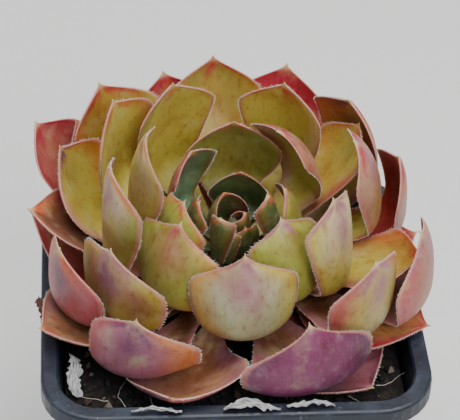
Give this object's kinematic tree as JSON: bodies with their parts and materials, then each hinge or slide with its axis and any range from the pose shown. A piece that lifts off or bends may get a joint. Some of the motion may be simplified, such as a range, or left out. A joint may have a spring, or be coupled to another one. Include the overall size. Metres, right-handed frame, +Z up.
{
  "type": "hens and chicks houseleek in a nursery pot",
  "caption": "Potted houseleek rosette: cupped, pointed, red-flushed succulent leaves spiralling round a short stem in soil, in a square black plastic nursery pot.",
  "frame": {"origin": "middle of the pot's flat underside", "axes": "+Z up, X and Y along the pot's sides, -Y towards the side that the rosette leans to"},
  "size_m": [0.097, 0.0948, 0.1268],
  "materials": {
    "heart_leaf": "waxy green leaf with reddish tip",
    "inner_leaf": "waxy yellow-green leaf with mauve and orange flush",
    "outer_leaf": "waxy leaf flushed red, orange and purple",
    "stem": "rough living stem",
    "soil": "loose dark potting soil",
    "pot": "satin moulded plastic with lime dust and scuffs",
    "dry_leaf": "dry brown leaf",
    "papery_skin": "thin pale papery skin"
  },
  "bodies": {
    "root": {"leaf_01": "heart_leaf", "leaf_02": "heart_leaf", "leaf_03": "heart_leaf", "leaf_04": "heart_leaf", "leaf_05": "heart_leaf", "leaf_06": "heart_leaf", "leaf_07": "heart_leaf", "leaf_08": "heart_leaf", "leaf_09": "inner_leaf", "leaf_10": "inner_leaf", "leaf_11": "inner_leaf", "leaf_12": "inner_leaf", "leaf_13": "inner_leaf", "leaf_14": "inner_leaf", "leaf_15": "inner_leaf", "leaf_16": "inner_leaf", "leaf_17": "inner_leaf", "leaf_18": "inner_leaf", "leaf_19": "inner_leaf", "leaf_20": "inner_leaf", "leaf_21": "inner_leaf", "leaf_22": "inner_leaf", "leaf_23": "inner_leaf", "leaf_24": "inner_leaf", "leaf_25": "outer_leaf", "leaf_26": "outer_leaf", "leaf_27": "outer_leaf", "leaf_28": "outer_leaf", "leaf_29": "outer_leaf", "leaf_30": "outer_leaf", "leaf_31": "outer_leaf", "leaf_32": "outer_leaf", "leaf_33": "outer_leaf", "leaf_34": "outer_leaf", "leaf_35": "outer_leaf", "leaf_36": "outer_leaf", "leaf_37": "outer_leaf", "leaf_38": "outer_leaf", "leaf_39": "outer_leaf", "leaf_40": "outer_leaf", "leaf_41": "outer_leaf", "leaf_42": "outer_leaf", "leaf_43": "outer_leaf", "leaf_44": "outer_leaf", "leaf_45": "outer_leaf", "leaf_46": "outer_leaf", "leaf_47": "outer_leaf", "leaf_48": "outer_leaf", "leaf_49": "outer_leaf", "leaf_50": "outer_leaf", "dry_leaf": "dry_leaf", "dry_skin_left": "papery_skin", "dry_skin_front": "papery_skin", "dry_skin_right": "papery_skin", "dry_skin_rim": "papery_skin", "stem": "stem", "soil": "soil", "pot": "pot"}
  },
  "joints": []
}
